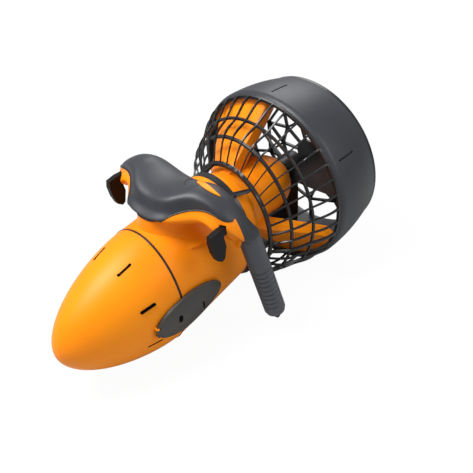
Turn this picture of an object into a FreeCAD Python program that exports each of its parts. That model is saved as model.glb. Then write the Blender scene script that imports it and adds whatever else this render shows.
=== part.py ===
import FreeCAD, Part
import math
import os
from FreeCAD import Matrix, Placement, Rotation, Vector

# Underwater scooter, millimetres. +Z is up, the nose points along -Y, port is +X.
# The origin lies on the floor that the scooter rests on, below the middle of its length.

# Lengths along Y, nose to stern, and the stations that they give
nose_length = 182.0
hull_length = 148.0
guard_length = 139.5
duct_length = 104.5
stern_rim = 6.0
y_tip = -(nose_length + hull_length + guard_length + duct_length + stern_rim) / 2
y_seam = y_tip + nose_length
y_hull_end = y_seam + hull_length
y_lip = y_hull_end + guard_length
y_duct_end = y_lip + duct_length
y_stern = y_duct_end + stern_rim

# Propeller duct, which the scooter rests on
duct_r_max = 160.0
duct_wall = 13.0
duct_lip_in = 7.5
duct_exit_in = 7.5
duct_tail_in = 14.0
duct_round = 11.0
axis_z = duct_r_max
duct_throat_r = duct_r_max - duct_wall
duct_exit_r = duct_throat_r - duct_exit_in
duct_tail_r = duct_r_max - duct_tail_in
duct_slot_count = 6
duct_slot_width = 3.2
duct_slot_depth = 2.5
duct_slot_sag = 3.2
duct_slot_length = 39.0
duct_slot_from_lip = 18.5

# Hull sections are upright ellipses whose centres climb towards the stern
seam_half_width = 84.0
seam_half_height = 104.0
end_half_width = 79.0
end_half_height = 98.0
end_drop = 23.5
hull_climb = 24.8
nose_climb = 13.7
end_z = axis_z - end_drop
seam_z = end_z - hull_climb
tip_z = seam_z - nose_climb
nose_power = 1.61
nose_root = 1.87
wall = 4.0
seal_width = 3.0
seal_recess = 1.2
seal_y = 5.0
collar_root = 10.0
collar_sink = 3.0
collar_wall = 4.0
spigot_length = 14.0
spigot_wall = 3.5
groove_floor = 1.8
seal_side = 0.1
seal_squeeze = 0.1
part_gap = 0.3
rear_hole_rim = 28.0

# Grip slots moulded into the nose
slot_count = 8
slot_from_seam = 55.0
slot_length = 25.0
slot_width = 3.4
slot_depth = 2.2
slot_turn = 22.5

# Tail housing and its two stator vanes
tail_inset = 7.0
hub_width = 12.0
tail_steps = ((0.0, 0.0), (0.22, 0.15), (0.55, 0.62), (0.85, 0.96), (1.0, 1.0))
pod_r = 50.0
tail_length = 78.0
pod_straight = 32.0
pod_length = 85.0
pod_nose_r = 26.0
vane_angles = (130.0, -50.0)
vane_root_half = 36.0
vane_tip_half = 92.0
vane_ahead = 57.5
vane_length = 78.0
vane_front_depth = 20.0
vane_rear_depth = 6.0
vane_root_sink = 8.0
y_hub_end = y_hull_end + hub_width
pod_y = y_hull_end + tail_length
pod_end = pod_y + pod_length
vane_y0 = y_lip - vane_ahead
vane_y1 = vane_y0 + vane_length

# Front guard: hoop places are shares of its length and shares of the way from its first hoop out to its ring
first_hoop_y = 16.0
first_hoop_in = 28.0
guard_ring_in = 3.5
hoop_shares = ((0.0, 0.0), (0.235, 0.548), (0.485, 0.9315))
rib_share = (0.4534, 0.918)
rib_count = 36
rib_phase = 52.0
rib_thick = 2.6
rib_deep = 4.0
spoke_count = 6
spoke_thick = 6.0
spoke_root_r = 60.0
spoke_ahead = 8.0
spoke_long = 13.0
hub_proud = 0.4
hoop_thick = 4.0
first_hoop_thick = 6.0
ring_depth = 5.0
ring_length = 7.0
ring_ahead = 3.0
ring_r = duct_throat_r + guard_ring_in

# Rear guard
rear_bar = 4.0
rear_bar_deep = 5.0
rear_hub_r = 26.0
rear_ring_radii = (62.0, 102.0)
rear_sides = 10
rear_sink = 0.5
rim_step = 0.5
rim_screw_count = 6
rim_screw_phase = 60.0
rim_screw_r = 1.2
rim_head_r = 2.2
rim_head_deep = 1.8
rim_screw_length = 14.0
head_clear = 0.2

# Drive line
motor_r = 38.0
motor_from_end = 22.0
motor_length = 84.0
motor_clear = 3.0
motor_nose_deep = 8.0
mount_flange = 5.0
mount_reach = 12.0
mount_flange_r = 56.0
gearbox_r = 30.0
gearbox_length = 10.0
shaft_r = 6.0
shaft_fit = 0.05
shaft_clear = 2.0
bearing_r = 13.0
bearing_width = 8.0
bearing_gaps = (48.0, 66.0)
seal_r = 11.0
hub_r = 24.0
hub_gap = 4.0
hub_length = 40.0
blade_count = 3
blade_phase = 15.0
blade_tip_clear = 13.0
blade_root_sink = 6.0
blade_tip_over = 4.0
blade_root_chord = 46.0
blade_tip_chord = 86.0
blade_root_pitch = 48.0
blade_tip_pitch = 21.0
blade_root_thick = 7.0
blade_tip_thick = 3.2
nut_r = 15.0
nut_length = 13.0
nut_flange = 3.0
nut_end_r = 8.5
motor_y0 = y_hull_end + motor_from_end
gearbox_y0 = motor_y0 + motor_length
bearing_ys = (pod_y + bearing_gaps[0], pod_y + bearing_gaps[1])
shaft_y0 = gearbox_y0 + bearing_width / 2
hub_y0 = pod_end + hub_gap
blade_tip_r = duct_throat_r - blade_tip_clear

# Handle: the height of its crown above the propeller axis and its place behind the seam carry all of it
bridge_y = y_seam
bridge_z = axis_z + 90.0

# Stations of the handle's wing: x, height, lean below level, front, rear, crest, and the low, middle and high offsets
wing_stations = (
    (0.0, 4.0, 0.0, 11.0, 118.0, 66.0, -17.0, -6.0, 18.0),
    (38.0, 6.0, 0.0, 18.0, 119.0, 70.0, -19.0, -4.0, 22.0),
    (68.0, 6.0, 0.0, 43.0, 117.0, 79.0, -21.0, 2.0, 27.0),
    (90.0, 0.0, 22.0, 54.0, 113.0, 86.0, -15.0, 6.0, 23.0),
    (108.0, -12.0, 50.0, 57.0, 112.0, 92.0, -11.0, 6.0, 19.0),
    (119.0, -28.0, 72.0, 66.0, 118.0, 97.0, -12.0, 5.0, 17.5),
)
grip_top = (121.0, 111.0, -45.0)
grip_foot = (141.0, 138.0, -208.0)
grip_front = 26.0
front_lean = 8.0
grip_socket = 4.0
grip_socket_clear = 0.8
neck_stations = (
    (-62.0, 68.0, 3.0, 147.0),
    (-50.0, 55.0, 4.0, 144.0),
    (-40.0, 47.5, 6.0, 140.0),
    (-30.0, 43.5, 9.0, 135.0),
    (-19.0, 44.0, 12.0, 128.0),
    (-8.0, 52.0, 16.0, 118.0),
)
cheek_line = ((0, -14), (20, -14), (33, -10), (44, -1), (58, 6), (75, 9.5), (90, 10), (105, 7), (118, 2), (160, -14))
sleeve_split_x = 100.0
sleeve_split_y = 86.0
tongue_length = 18.0
tongue_half = 8.0
grip_r = 17.5
grip_core_r = 12.0
groove_pitch = 9.5
groove_count = 9
groove_depth = 1.6
groove_width = 3.0
grip_foot_plain = 12.0
grip_chamfer = 2.0
cap_length = 6.0
eye_r = 3.2
eye_wall = 2.6
eye_thick = 5.0
eye_rise = 1.5

# Trigger levers, drawn from the side, from the pivot
trigger_x = 117.0
trigger_width = 9.0
trigger_gap = 0.6
trigger_pivot = (75.0, -13.0)
trigger_pin_r = 1.6
trigger_boss_r = 5.0
trigger_outline = ((0, 5), (-19, 6), (-36, 3), (-38, -8), (-35, -27), (-29, -43), (-20, -50), (-14, -47), (-9, -27), (-12, -8), (0, -5))
trigger_slot = (50.0, 8.0, 40.0)
trigger_wall = 3.0

# Side latches
latch_from_seam = 10.0
latch_drop = 7.7
latch_half_length = 66.0
latch_half_height = 31.0
latch_tilt = 6.0
latch_lift = 1.0
latch_thick = 6.0
latch_pivot_ahead = 52.5
latch_knuckle_r = 3.0
latch_pin_r = 1.5
latch_notches = (-9.0, 38.0)
notch_depth = 2.0
notch_width = 5.0
notch_height = 8.0
notch_low = 16.0
knuckle_half = 7.0
ear_height = 3.0
ear_root = 7.0
latch_y = y_seam + latch_from_seam
latch_z = seam_z - latch_drop
latch_pivot_y = y_seam - latch_pivot_ahead

# Inner pieces
battery_size = (90.0, 128.0, 84.0)
battery_ahead = 92.0
tray_thick = 4.0
tray_side = 24.0
bulkhead_from_seam = 62.0
bulkhead_thick = 6.0
bulkhead_fit = 0.05
board_size = (70.0, 46.0, 1.6)
board_drop = 40.0
bulkhead_y = y_seam + bulkhead_from_seam
battery_y0 = y_seam - battery_ahead

X = Vector(1, 0, 0)
Y = Vector(0, 1, 0)
Z = Vector(0, 0, 1)
ORIGIN = Vector(0, 0, 0)


def save(name, shape):
    shape.exportStep("parts/" + name + ".step")


def box(x0, x1, y0, y1, z0, z1):
    return Part.makeBox(x1 - x0, y1 - y0, z1 - z0, Vector(x0, y0, z0))


def rod_y(radius, y0, y1, x=0.0, z=axis_z):
    return Part.makeCylinder(radius, y1 - y0, Vector(x, y0, z), Y)


def tube_y(outer, inner, y0, y1, z=axis_z):
    return rod_y(outer, y0, y1, 0.0, z).cut(rod_y(inner, y0 - 1, y1 + 1, 0.0, z))


def spun(edges, z=axis_z):
    """Turns a closed outline, drawn as (0, y, r), about the line x = 0 at height z."""
    solid = Part.Face(Part.Wire(edges)).revolve(ORIGIN, Y, 360)
    solid.translate(Vector(0, 0, z))
    return solid


def yr(y, r):
    return Vector(0, y, r)


def mirrored(shape):
    return shape.mirror(ORIGIN, X)


# The hull's outer form: a turned shape made narrower than it is tall, then leaned upwards.
def leaned(shape, narrowing, slope):
    lean = Matrix()
    lean.A11 = narrowing
    lean.A32 = slope
    lean.A34 = seam_z - slope * y_seam
    return shape.transformGeometry(lean)


def nose_curve(grow, y0, y1):
    """The nose's outline from one station to another, moved outwards by a margin."""
    start = y_tip - grow
    reach = y_seam - start
    first = math.acos(1 - (max(y0, start) - start) / reach)
    last = math.acos(1 - (y1 - start) / reach)
    steps = 8
    points = []
    for i in range(steps + 1):
        t = 1 - math.cos(first + (last - first) * i / steps)
        radius = (seam_half_height + grow) * (1 - (1 - t) ** nose_power) ** (1 / nose_root)
        points.append(yr(start + reach * t, radius))
    curve = Part.BSplineCurve()
    curve.interpolate(points)
    return curve.toShape()


def nose_leaned(edges, grow=0.0):
    narrowing = (seam_half_width + grow) / (seam_half_height + grow)
    return leaned(spun(edges, 0.0), narrowing, nose_climb / nose_length)


def closed(edges):
    """Joins open edges, given in order, into a loop with straight lines between their ends."""
    loop = []
    for i, edge in enumerate(edges):
        end = edge.valueAt(edge.LastParameter)
        after = edges[(i + 1) % len(edges)]
        start = after.valueAt(after.FirstParameter)
        loop.append(edge)
        if end.distanceToPoint(start) > 1e-6:
            loop.append(Part.makeLine(end, start))
    return loop


def reversed_edge(edge):
    curve = edge.Curve.copy()
    curve.segment(edge.FirstParameter, edge.LastParameter)
    curve.reverse()
    return curve.toShape()


def nose_band(low, high, y0, y1):
    """Skin of the nose between two margins outside its surface."""
    outer = nose_curve(high, y0, y1)
    inner = reversed_edge(nose_curve(low, y0, y1))
    return nose_leaned(closed([outer, inner]), (low + high) / 2)


def hull_radius(grow, y):
    shrink = (seam_half_height - end_half_height) / hull_length
    return seam_half_height + grow - shrink * (y - y_seam)


def hull_leaned(corners, grow=0.0):
    narrowing = (seam_half_width + grow) / (seam_half_height + grow)
    loop = corners + corners[:1]
    edges = [Part.makeLine(loop[i], loop[i + 1]) for i in range(len(corners))]
    return leaned(spun(edges, 0.0), narrowing, hull_climb / hull_length)


def hull_solid(grow, y0, y1):
    """Solid inside the main hull's outer surface moved by a margin, between two stations."""
    return hull_leaned([yr(y0, 0), yr(y0, hull_radius(grow, y0)), yr(y1, hull_radius(grow, y1)), yr(y1, 0)])


def hull_band(low, high, y0, y1):
    """Ring between two margins of the main hull's surface, between two stations."""
    corners = [
        yr(y0, hull_radius(low, y0)),
        yr(y0, hull_radius(high, y0)),
        yr(y1, hull_radius(high, y1)),
        yr(y1, hull_radius(low, y1)),
    ]
    return hull_leaned(corners, max(0.0, (low + high) / 2))


def hull_width_at(y):
    return seam_half_width + (end_half_width - seam_half_width) * (y - y_seam) / hull_length


y_nose_end = y_seam - seal_width / 2
y_hull_start = y_seam + seal_width / 2 + part_gap


def nose_radius(y):
    """Radius of the nose's round outline, before it is made narrower, at a station."""
    t = (y - y_tip) / (y_seam - y_tip)
    return seam_half_height * (1 - (1 - t) ** nose_power) ** (1 / nose_root)


def nose_slots(count, turn):
    """Round-ended cutters that lie along the round nose and reach in to the slots' floors."""
    y_mid = y_seam - slot_from_seam
    ahead = nose_radius(y_mid - slot_length / 2)
    astern = nose_radius(y_mid + slot_length / 2)
    middle = (ahead + astern) / 2
    cutters = []
    for k in range(count):
        cutter = slot_cutter(slot_length, slot_width)
        cutter.translate(Vector(middle - slot_depth, 0, 0))
        cutter.rotate(Vector(middle, 0, 0), Z, -math.degrees(math.atan2(astern - ahead, slot_length)))
        cutter.rotate(ORIGIN, Y, -(turn + 360 / count * k))
        cutter.translate(Vector(0, y_mid, 0))
        cutters.append(cutter)
    return Part.makeCompound(cutters)


def nose_cone():
    inner = reversed_edge(nose_curve(-wall, y_tip + wall, y_nose_end))
    shell = spun(closed([nose_curve(0.0, y_tip, y_nose_end), inner]), 0.0)
    shell = shell.cut(nose_slots(slot_count, slot_turn)).Solids[0]
    shell = leaned(shell, seam_half_width / seam_half_height, nose_climb / nose_length)
    return shell.multiFuse([latch_ears(side) for side in (-1, 1)])


def nose_collar():
    """Ring fixed inside the nose's mouth, whose spigot slides into the main hull."""
    groove_y0 = y_hull_start + seal_y
    groove_y1 = groove_y0 + seal_width
    y_end = y_hull_start + spigot_length
    skin = -wall - part_gap
    spigot = hull_leaned(
        [
            yr(y_nose_end, hull_radius(skin - spigot_wall, y_nose_end)),
            yr(y_nose_end, hull_radius(skin, y_nose_end)),
            yr(groove_y0, hull_radius(skin, groove_y0)),
            yr(groove_y0, hull_radius(skin - groove_floor, groove_y0)),
            yr(groove_y1, hull_radius(skin - groove_floor, groove_y1)),
            yr(groove_y1, hull_radius(skin, groove_y1)),
            yr(y_end, hull_radius(skin, y_end)),
            yr(y_end, hull_radius(skin - spigot_wall, y_end)),
        ]
    )
    root_r = nose_radius(y_nose_end - collar_root) - wall - collar_sink
    y_root = y_nose_end - collar_root
    root = nose_leaned(
        closed(
            [
                Part.makeLine(yr(y_root, root_r), yr(y_nose_end, root_r)),
                Part.makeLine(yr(y_nose_end, root_r - collar_wall), yr(y_root, root_r - collar_wall)),
            ]
        )
    )
    return spigot.fuse(root)


def slot_cutter(long, wide):
    """Round-ended slot lying along Y, from the YZ plane out along +X."""
    reach = 20.0
    mid = box(0, reach, -(long - wide) / 2, (long - wide) / 2, -wide / 2, wide / 2)
    ends = [Part.makeCylinder(wide / 2, reach, Vector(0, side * (long - wide) / 2, 0), X) for side in (-1, 1)]
    return mid.multiFuse(ends)


def seam_seal():
    return hull_band(-wall - part_gap, -seal_recess, y_nose_end, y_nose_end + seal_width)


def spigot_seal():
    y0 = y_hull_start + seal_y + seal_side
    y1 = y_hull_start + seal_y + seal_width - seal_side
    return hull_band(-wall - part_gap - groove_floor + seal_side, -wall - seal_squeeze, y0, y1)


def tail_mouth(grow, y0, y1):
    return hull_solid(-tail_inset + grow, y0, y1)


def main_hull():
    y_wall = y_hull_end - wall
    rear_hole_r = end_half_height - rear_hole_rim
    return hull_leaned(
        [
            yr(y_hull_start, hull_radius(-wall, y_hull_start)),
            yr(y_hull_start, hull_radius(0.0, y_hull_start)),
            yr(y_hull_end, hull_radius(0.0, y_hull_end)),
            yr(y_hull_end, rear_hole_r),
            yr(y_wall, rear_hole_r),
            yr(y_wall, hull_radius(-wall, y_wall)),
        ]
    )


def latch_pivot():
    flank = nose_radius(latch_pivot_y) * seam_half_width / seam_half_height
    return Vector(flank + latch_lift + latch_thick - latch_knuckle_r, latch_pivot_y, latch_axis_z)


latch_axis_z = latch_z + math.tan(math.radians(latch_tilt)) * (latch_pivot_y - latch_y)


def latch_ears(side):
    """Two small ears on the nose that hold the latch's hinge pin."""
    pivot = latch_pivot()
    ears = []
    for up in (-1, 1):
        z0 = pivot.z + up * (knuckle_half + part_gap + ear_height / 2) - ear_height / 2
        ear = box(pivot.x - ear_root, pivot.x, pivot.y - latch_knuckle_r, pivot.y + latch_knuckle_r, z0, z0 + ear_height)
        ear = ear.fuse(Part.makeCylinder(latch_knuckle_r, ear_height, Vector(pivot.x, pivot.y, z0), Z))
        ear = ear.cut(Part.makeCylinder(latch_pin_r, ear_height, Vector(pivot.x, pivot.y, z0), Z))
        ears.append(ear if side > 0 else mirrored(ear))
    return Part.makeCompound(ears)


def latch():
    """Oval latch: a plate along the flank, hinged on the nose, whose rear half lies over the hull."""
    far = 2 * seam_half_width
    outline = oval(Vector(seam_half_width / 2, latch_y, latch_z), Y, Z, latch_half_length, latch_half_height)
    prism = Part.Face(outline).extrude(Vector(far, 0, 0))
    prism.rotate(Vector(0, latch_y, latch_z), X, latch_tilt)
    pivot = latch_pivot()
    low = latch_z - 2 * latch_half_height
    prism = prism.common(box(0, far, pivot.y, y_hull_end, low, low + 4 * latch_half_height))
    high = latch_lift + latch_thick
    y_rear = latch_y + latch_half_length + wall
    over_hull = [
        yr(y_seam, hull_radius(latch_lift, y_seam)),
        yr(y_seam, hull_radius(high, y_seam)),
        yr(y_rear, hull_radius(high, y_rear)),
        yr(y_rear, hull_radius(latch_lift, y_seam)),
    ]
    plate = nose_band(latch_lift, high, pivot.y - wall, y_seam).common(prism)
    plate = plate.fuse(hull_leaned(over_hull, high / 2).common(prism))
    knuckle = Part.makeCylinder(latch_knuckle_r, 2 * knuckle_half, Vector(pivot.x, pivot.y, pivot.z - knuckle_half), Z)
    gaps = []
    for up in (-1, 1):
        z0 = pivot.z + up * (knuckle_half + part_gap + ear_height / 2) - ear_height / 2 - part_gap
        clear = latch_knuckle_r + 2 * part_gap
        gaps.append(box(0, far, pivot.y - clear, pivot.y + clear, z0, z0 + ear_height + 2 * part_gap))
    for shift in latch_notches:
        y0 = y_seam + shift - notch_width / 2
        x0 = hull_width_at(y_seam) + latch_lift + latch_thick - notch_depth
        gaps.append(box(x0, far, y0, y0 + notch_width, latch_z - notch_low, latch_z - notch_low + notch_height))
    long = 4 * knuckle_half
    bore = Part.makeCylinder(latch_pin_r + shaft_fit, long, Vector(pivot.x, pivot.y, pivot.z - long / 2), Z)
    return plate.cut(Part.makeCompound(gaps)).fuse(knuckle).cut(bore)


def latch_pin():
    pivot = latch_pivot()
    half = knuckle_half + part_gap + ear_height
    return Part.makeCylinder(latch_pin_r, 2 * half, Vector(pivot.x, pivot.y, pivot.z - half), Z)


def oval(centre, first, second, half_first, half_second):
    """Ellipse wire from its centre, its two axis directions and its half sizes along them."""
    if half_first < half_second:
        first, second = second, first.negative()
        half_first, half_second = half_second, half_first
    wire = Part.Wire(Part.Ellipse(ORIGIN, half_first, half_second).toShape())
    wire.Placement = Placement(centre, Rotation(first, second, first.cross(second), "ZXY"))
    return wire


def ellipse_y(y, half_width, half_height, z):
    """Upright ellipse across Y."""
    return oval(Vector(0, y, z), Z, X, half_height, half_width)


def tail_form():
    """Outer form of the tail: from the hull's tall ellipse down to the round pod."""
    mouth_h = hull_radius(-tail_inset, y_hub_end)
    mouth_w = mouth_h * seam_half_width / seam_half_height
    z0 = end_z + hull_climb / hull_length * hub_width
    run = pod_y - y_hub_end
    sections = []
    for part, ease in tail_steps:
        half_w = mouth_w + (pod_r - mouth_w) * ease
        half_h = mouth_h + (pod_r - mouth_h) * ease
        sections.append(ellipse_y(y_hub_end + run * part, half_w, half_h, z0 + (axis_z - z0) * ease))
    return Part.makeLoft(sections, True, False)


def pod_form():
    y0 = pod_y + pod_straight
    corner = Part.Arc(
        yr(y0, pod_r), yr(y0 + (pod_end - y0) * 0.72, pod_r - (pod_r - pod_nose_r) * 0.36), yr(pod_end, pod_nose_r)
    )
    return spun(
        closed([Part.makeLine(yr(pod_y, 0), yr(pod_y, pod_r)), corner.toShape(), Part.makeLine(yr(pod_end, 0), yr(pod_y, 0))])
    )


def tail_housing():
    outer = tail_form().multiFuse([pod_form(), tail_mouth(0.0, y_hull_end, y_hub_end)])
    hollow = rod_y(motor_r + motor_clear, y_hull_end - 1, gearbox_y0 + gearbox_length)
    bores = [
        rod_y(shaft_r + shaft_clear, gearbox_y0, pod_end + 1),
        rod_y(bearing_r, bearing_ys[0], bearing_ys[1] + bearing_width),
        rod_y(seal_r, bearing_ys[1], pod_end + 1),
    ]
    return outer.cut(hollow.multiFuse(bores))


def duct_inner_form():
    """Everything inside the duct's bore, carried on forwards at the throat's size."""
    corners = [
        yr(vane_y0 - 1, 0),
        yr(vane_y0 - 1, duct_throat_r),
        yr(y_lip + duct_round, duct_throat_r),
        yr(y_duct_end, duct_exit_r),
        yr(y_duct_end, 0),
    ]
    loop = corners + corners[:1]
    return spun([Part.makeLine(loop[i], loop[i + 1]) for i in range(len(corners))])


def across(angle, radius, along, y):
    """Point on the flat plane at a radius, offset along the tangent at that angle."""
    a = math.radians(angle)
    return Vector(
        radius * math.cos(a) - along * math.sin(a), y, axis_z + radius * math.sin(a) + along * math.cos(a)
    )


def vane(angle):
    """Broad slanted strut with a deep blunt front edge, from the pod to the duct's bore."""
    wires = []
    for radius, half in ((pod_r - vane_root_sink, vane_root_half), (duct_throat_r + duct_wall, vane_tip_half)):
        corners = [
            across(angle, radius, -half, vane_y0),
            across(angle, radius, half, vane_y1 - vane_rear_depth),
            across(angle, radius, half, vane_y1),
            across(angle, radius, -half, vane_y0 + vane_front_depth),
        ]
        wires.append(Part.makePolygon(corners + corners[:1]))
    strut = Part.makeLoft(wires, True, True)
    return strut.common(duct_inner_form()).cut(pod_form())


def stator_vanes():
    return Part.makeCompound([vane(angle) for angle in vane_angles])


def tangent_arc(y0, r0, y1, r1, drawn_back=False):
    """Arc between two points that is parallel to Y at the first of them."""
    run = y1 - y0
    rise = r1 - r0
    radius = (run * run + rise * rise) / (2 * rise)
    turn = math.atan2(abs(run), abs(radius) - abs(rise)) / 2
    middle = yr(y0 + math.copysign(abs(radius) * math.sin(turn), run), r0 + radius * (1 - math.cos(turn)))
    places = [yr(y0, r0), middle, yr(y1, r1)]
    if drawn_back:
        places.reverse()
    return Part.Arc(*places).toShape()


def duct():
    """Ring with a rounded lip, a barrel-shaped outside and short slots, seated round the guard's ring."""
    y_round = y_lip + duct_round
    lip_r = duct_r_max - duct_lip_in
    edges = [
        Part.makeLine(yr(y_duct_end, duct_exit_r), yr(y_round, duct_throat_r)),
        tangent_arc(y_round, duct_throat_r, y_lip, lip_r),
        tangent_arc(y_round, duct_r_max, y_lip, lip_r, True),
        tangent_arc(y_round, duct_r_max, y_duct_end, duct_tail_r),
        Part.makeLine(yr(y_duct_end, duct_tail_r), yr(y_duct_end, duct_exit_r)),
    ]
    body = spun(edges)
    body = body.cut(tube_y(ring_r + ring_depth, ring_r, y_lip - 1, y_lip + ring_length))
    cutters = []
    for k in range(duct_slot_count):
        cutter = slot_cutter(duct_slot_length, duct_slot_width)
        cutter.translate(Vector(duct_r_max - duct_slot_sag - duct_slot_depth, 0, 0))
        cutter.rotate(ORIGIN, Y, -(90 + 360 / duct_slot_count * k))
        cutter.translate(Vector(0, y_lip + duct_slot_from_lip + duct_slot_length / 2, axis_z))
        cutters.append(cutter)
    shanks = rim_screws_at(rim_screw_r, y_duct_end - rim_screw_length, y_duct_end + 1)
    return body.cut(Part.makeCompound(cutters)).cut(shanks)


def rim_screws_at(radius, y0, y1):
    """One cylinder for each screw round the stern rim."""
    circle = (duct_exit_r + duct_tail_r) / 2
    rods = []
    for k in range(rim_screw_count):
        a = math.radians(rim_screw_phase + 360 / rim_screw_count * k)
        rods.append(rod_y(radius, y0, y1, circle * math.cos(a), axis_z + circle * math.sin(a)))
    return Part.makeCompound(rods)


def rim_screws():
    """Screws that hold the rear guard to the duct, with their heads sunk in its rim."""
    y_head = y_stern - rim_head_deep
    heads = rim_screws_at(rim_head_r, y_head, y_stern - head_clear)
    shanks = rim_screws_at(rim_screw_r, y_duct_end - rim_screw_length, y_head)
    drive = rim_screws_at(rim_screw_r / 2, y_stern - rim_head_deep / 2, y_stern)
    screws = [head.fuse(shank) for head, shank in zip(heads.Solids, shanks.Solids)]
    return Part.makeCompound(screws).cut(drive)


def guard_place(along, outwards):
    """Point of the front guard at shares of its length and of its spread."""
    y0 = y_hull_end + first_hoop_y
    r0 = duct_throat_r - first_hoop_in
    return y0 + (y_lip - y0) * along, r0 + (ring_r + ring_depth - r0) * outwards


def guard_rib(angle):
    """One flat rib of the front guard, bent to an arc in its own plane through the axis."""
    half = rib_deep / 2
    shape = (guard_place(0.0, 0.0), guard_place(*rib_share), (y_lip + ring_length / 4, ring_r + half))
    places = [yr(y, r) for y, r in shape]
    centre = Part.Arc(*places).toShape().Curve.Center
    outer = [place + (place - centre).normalize() * half for place in places]
    inner = [place - (place - centre).normalize() * half for place in reversed(places)]
    outline = Part.Wire(closed([Part.Arc(*outer).toShape(), Part.Arc(*inner).toShape()]))
    rib = Part.Face(outline).extrude(Vector(rib_thick, 0, 0))
    rib.translate(Vector(-rib_thick / 2, 0, 0))
    rib.rotate(ORIGIN, Y, 90 - angle)
    rib.translate(Vector(0, 0, axis_z))
    return rib


def front_guard():
    """Cage of arched ribs and hoops between the hull's rear edge and the duct's lip."""
    hub = hull_band(-tail_inset, hub_proud, y_hull_end, y_hub_end)
    pieces = [guard_rib(rib_phase + 360 / rib_count * k) for k in range(rib_count)]
    for k, shares in enumerate(hoop_shares):
        y, r = guard_place(*shares)
        half = (first_hoop_thick if k == 0 else hoop_thick) / 2
        pieces.append(tube_y(r + half, r - half, y - half, y + half))
    pieces.append(tube_y(ring_r + ring_depth, ring_r, y_lip - ring_ahead, y_lip + ring_length))
    clear = tail_mouth(0.0, y_hull_end - 1, y_hub_end + spoke_long)
    reach = guard_place(0.0, 0.0)[1]
    y0 = y_hub_end - spoke_ahead
    spokes = []
    for k in range(spoke_count):
        spoke = box(spoke_root_r, reach, y0, y0 + spoke_long, -spoke_thick / 2, spoke_thick / 2)
        spoke.rotate(ORIGIN, Y, -(rib_phase + 360 / spoke_count * k))
        spoke.translate(Vector(0, 0, axis_z))
        spokes.append(spoke)
    pieces.extend(Part.makeCompound(spokes).cut(clear).Solids)
    return hub.multiFuse(pieces)


def rear_guard():
    """Rim and a web of straight bars between rings of corners, half a side apart from ring to ring."""
    y0 = y_duct_end
    rim = tube_y(duct_tail_r - rim_step, duct_exit_r, y0, y_stern)
    y1 = y0 + rim_step
    pieces = [rod_y(rear_hub_r, y1, y1 + rear_bar_deep)]
    inner = (rear_hub_r - rear_bar, 0.0)
    outer = (duct_exit_r + rear_sink, 0.5)
    rings = [inner] + [(r, 0.5 * k) for k, r in enumerate(rear_ring_radii)] + [outer]
    step = 360 / rear_sides
    for k, (radius, shift) in enumerate(rings):
        for i in range(rear_sides):
            here = across(step * (i + shift), radius, 0, y1)
            after = across(step * (i + 1 + shift), radius, 0, y1)
            if 0 < k < len(rings) - 1:
                pieces.append(bar(here, after))
            if k:
                inner_radius, inner_shift = rings[k - 1]
                near = across(step * (i + inner_shift), inner_radius, 0, y1)
                pieces.append(bar(near, here))
                if shift != inner_shift:
                    pieces.append(bar(across(step * (i + 1 + inner_shift), inner_radius, 0, y1), here))
    grille = pieces[0].multiFuse(pieces[1:]).common(rod_y(duct_exit_r + 2 * rear_sink, y1, y1 + rear_bar_deep))
    web = rim.fuse(grille).removeSplitter()
    heads = rim_screws_at(rim_head_r + head_clear, y_stern - rim_head_deep, y_stern + 1)
    shanks = rim_screws_at(rim_screw_r, y0 - 1, y_stern)
    return web.cut(heads).cut(shanks)


def bar(start, end):
    """Flat bar across the rear guard between two points, with square ends."""
    run = end - start
    piece = box(0, run.Length, 0, rear_bar_deep, -rear_bar / 2, rear_bar / 2)
    piece.rotate(ORIGIN, Y, -math.degrees(math.atan2(run.z, run.x)))
    piece.translate(start)
    return piece


def motor():
    can = rod_y(motor_r, motor_y0, gearbox_y0)
    return can.cut(rod_y(shaft_r + shaft_clear, gearbox_y0 - motor_nose_deep, gearbox_y0 + 1))


def motor_mount():
    """Flanged ring that clamps the motor's front end against the hull's rear wall."""
    y_wall = y_hull_end - wall
    flange = tube_y(mount_flange_r, motor_r, y_wall - mount_flange, y_wall)
    return flange.fuse(tube_y(motor_r + motor_clear - part_gap, motor_r, y_wall, motor_y0 + mount_reach))


def gearbox():
    return tube_y(gearbox_r, shaft_r + shaft_clear / 2, gearbox_y0, gearbox_y0 + gearbox_length)


def shaft_bearings():
    rings = [tube_y(bearing_r, shaft_r + shaft_fit, y, y + bearing_width) for y in bearing_ys]
    return Part.makeCompound(rings)


def shaft_seal():
    y0 = bearing_ys[1] + bearing_width
    return tube_y(seal_r, shaft_r + shaft_fit, y0, pod_end - 1)


def prop_shaft():
    end = hub_y0 + hub_length + nut_length - 3
    return rod_y(shaft_r, shaft_y0, end)


def blade(angle):
    """Twisted blade whose sections are lenses, each across the radius at its own pitch."""
    wires = []
    stations = (hub_r - blade_root_sink, (hub_r + blade_tip_r) / 2, blade_tip_r + blade_tip_over)
    y_mid = hub_y0 + hub_length / 2
    for radius in stations:
        part = (radius - hub_r) / (blade_tip_r - hub_r)
        chord = blade_root_chord + (blade_tip_chord - blade_root_chord) * part
        pitch = math.radians(blade_root_pitch + (blade_tip_pitch - blade_root_pitch) * part)
        thick = blade_root_thick + (blade_tip_thick - blade_root_thick) * part
        ends = []
        for along, off in ((-0.5, 0.0), (0.0, 0.5), (0.5, 0.0), (0.0, -0.5)):
            u = along * chord * math.cos(pitch) - off * thick * math.sin(pitch)
            v = along * chord * math.sin(pitch) + off * thick * math.cos(pitch)
            ends.append(across(angle, radius, u, y_mid + v))
        front = Part.Arc(ends[0], ends[1], ends[2]).toShape()
        back = Part.Arc(ends[2], ends[3], ends[0]).toShape()
        wires.append(Part.Wire([front, back]))
    reach = blade_tip_chord / 2
    return Part.makeLoft(wires, True, False).common(rod_y(blade_tip_r, y_mid - reach, y_mid + reach))


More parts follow.
